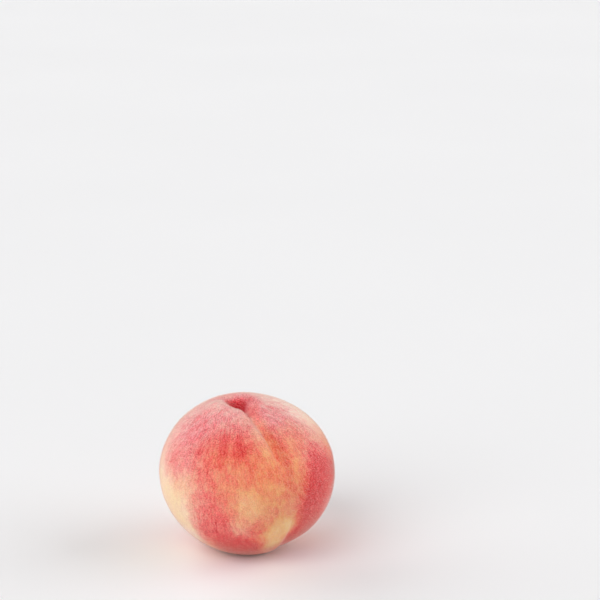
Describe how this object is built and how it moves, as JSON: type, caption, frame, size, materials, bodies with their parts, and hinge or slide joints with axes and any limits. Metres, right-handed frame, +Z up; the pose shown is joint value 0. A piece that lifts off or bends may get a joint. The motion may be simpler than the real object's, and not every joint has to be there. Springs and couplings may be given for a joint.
{
  "type": "white peach",
  "caption": "Whole ripe white peach, a slightly flattened globe with a stem funnel and a groove between its lobes, resting on a small flat spot.",
  "frame": {"origin": "middle of the base of the bounding box, on the flat spot's edge, at the height of the surface that the fruit rests on", "axes": "+Z up, -Y towards the fruit's front, where the groove runs down, and +X to the viewer's right across the fruit's width"},
  "size_m": [0.076, 0.0742, 0.068],
  "materials": {
    "skin": "matt, velvety fruit skin under fine pale down: cream and pink, with a coral red blush in soft patches"
  },
  "bodies": {
    "root": {"peach": "skin"}
  },
  "joints": []
}
